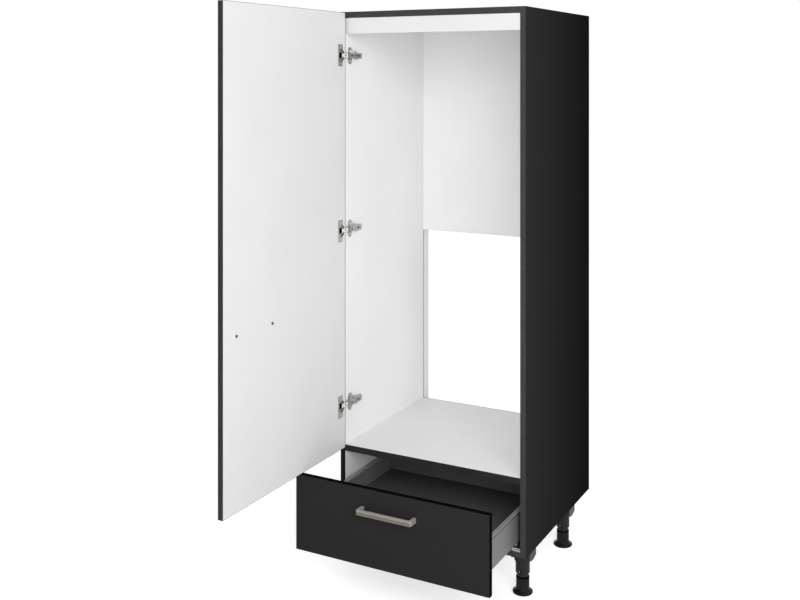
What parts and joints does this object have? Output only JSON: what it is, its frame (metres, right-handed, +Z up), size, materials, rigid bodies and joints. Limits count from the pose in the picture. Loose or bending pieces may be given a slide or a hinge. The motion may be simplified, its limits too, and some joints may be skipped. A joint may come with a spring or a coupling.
{
  "type": "fridge housing unit",
  "caption": "Tall kitchen cabinet on adjustable legs: a black carcass, white inside, with a hinged door over a fridge niche and a drawer with steel sides below.",
  "frame": {"origin": "middle of the front edge of the carcass underside", "axes": "+X to the right seen from the front, +Y to the back, +Z up"},
  "size_m": [0.6306, 1.169, 1.65],
  "materials": {
    "black_board": "matt black melamine-faced board, white inside",
    "black_edge": "matt black plastic edging",
    "white_board": "white melamine-faced board",
    "nickel": "satin nickel plate",
    "zinc": "bright zinc plate",
    "drawer_steel": "grey powder coat on sheet steel",
    "drawer_board": "dark grey coated board",
    "black_plastic": "black moulded plastic",
    "beech": "fluted beech dowel"
  },
  "bodies": {
    "carcass": {"side_panel_left": "black_board", "side_panel_right": "black_board", "top_panel": "white_board", "niche_shelf": "white_board", "bottom_panel": "white_board", "top_rail": "white_board", "upper_back_panel": "white_board", "lower_back_panel": "white_board", "carcass_edge_strips": "black_edge", "carcass_dowels": "beech", "cam_bolts": "zinc", "cam_housings": "zinc", "hinge_arm_top": "nickel", "hinge_arm_middle": "nickel", "hinge_arm_bottom": "nickel", "hinge_plate_top": "nickel", "hinge_plate_middle": "nickel", "hinge_plate_bottom": "nickel", "hinge_pins": "zinc", "hinge_plate_screws": "zinc", "hinge_arm_screws": "zinc", "runner_rail_left": "zinc", "runner_rail_right": "zinc", "runner_screws": "zinc", "leg_sockets": "black_plastic", "leg_screws": "zinc", "leg_tube_front_left": "black_plastic", "leg_tube_front_right": "black_plastic", "leg_tube_rear_left": "black_plastic", "leg_tube_rear_right": "black_plastic"},
    "door": {"door_panel": "black_board", "door_edge_strips": "black_edge", "door_handle": "nickel", "door_handle_screws": "zinc", "hinge_cup_top": "nickel", "hinge_cup_middle": "nickel", "hinge_cup_bottom": "nickel", "hinge_cup_screws": "zinc"},
    "hinge_links": {"hinge_link_top": "nickel", "hinge_link_middle": "nickel", "hinge_link_bottom": "nickel"},
    "drawer": {"drawer_front": "black_board", "drawer_front_edge_strips": "black_edge", "drawer_handle": "nickel", "drawer_handle_screws": "zinc", "drawer_side_left": "drawer_steel", "drawer_side_right": "drawer_steel", "drawer_floor": "drawer_board", "drawer_back": "drawer_board", "drawer_front_brackets": "zinc", "drawer_screws": "zinc", "runner_carrier_left": "zinc", "runner_carrier_right": "zinc"},
    "runner_sliders": {"runner_slider_left": "zinc", "runner_slider_right": "zinc"},
    "foot_front_left": {"foot_front_left": "black_plastic"},
    "foot_front_right": {"foot_front_right": "black_plastic"},
    "foot_rear_left": {"foot_rear_left": "black_plastic"},
    "foot_rear_right": {"foot_rear_right": "black_plastic"}
  },
  "joints": [
    {"name": "door_hinge", "type": "hinge", "parent": "carcass", "child": "door", "pos_m": [-0.2915, -0.0145, 0.875], "axis": [0, 0, 1], "range_deg": [-2, 90]},
    {"name": "hinge_link_turn", "type": "hinge", "parent": "carcass", "child": "hinge_links", "pos_m": [-0.2766, 0, 0.875], "axis": [0, 0, 1], "range_deg": [-2, 90]},
    {"name": "drawer_slide", "type": "slide", "parent": "carcass", "child": "drawer", "axis": [0, -1, 0], "range_m": [-0.227, 0.248]},
    {"name": "runner_slide", "type": "slide", "parent": "carcass", "child": "runner_sliders", "axis": [0, -1, 0], "range_m": [-0.1135, 0.124]},
    {"name": "foot_front_left_adjust", "type": "slide", "parent": "carcass", "child": "foot_front_left", "axis": [0, 0, 1], "range_m": [-0.015, 0.0045]},
    {"name": "foot_front_right_adjust", "type": "slide", "parent": "carcass", "child": "foot_front_right", "axis": [0, 0, 1], "range_m": [-0.015, 0.0045]},
    {"name": "foot_rear_left_adjust", "type": "slide", "parent": "carcass", "child": "foot_rear_left", "axis": [0, 0, 1], "range_m": [-0.015, 0.0045]},
    {"name": "foot_rear_right_adjust", "type": "slide", "parent": "carcass", "child": "foot_rear_right", "axis": [0, 0, 1], "range_m": [-0.015, 0.0045]}
  ],
  "couplings": [
    {"joint": "hinge_link_turn", "follows": "door_hinge", "ratio": 1},
    {"joint": "runner_slide", "follows": "drawer_slide", "ratio": 0.5}
  ]
}
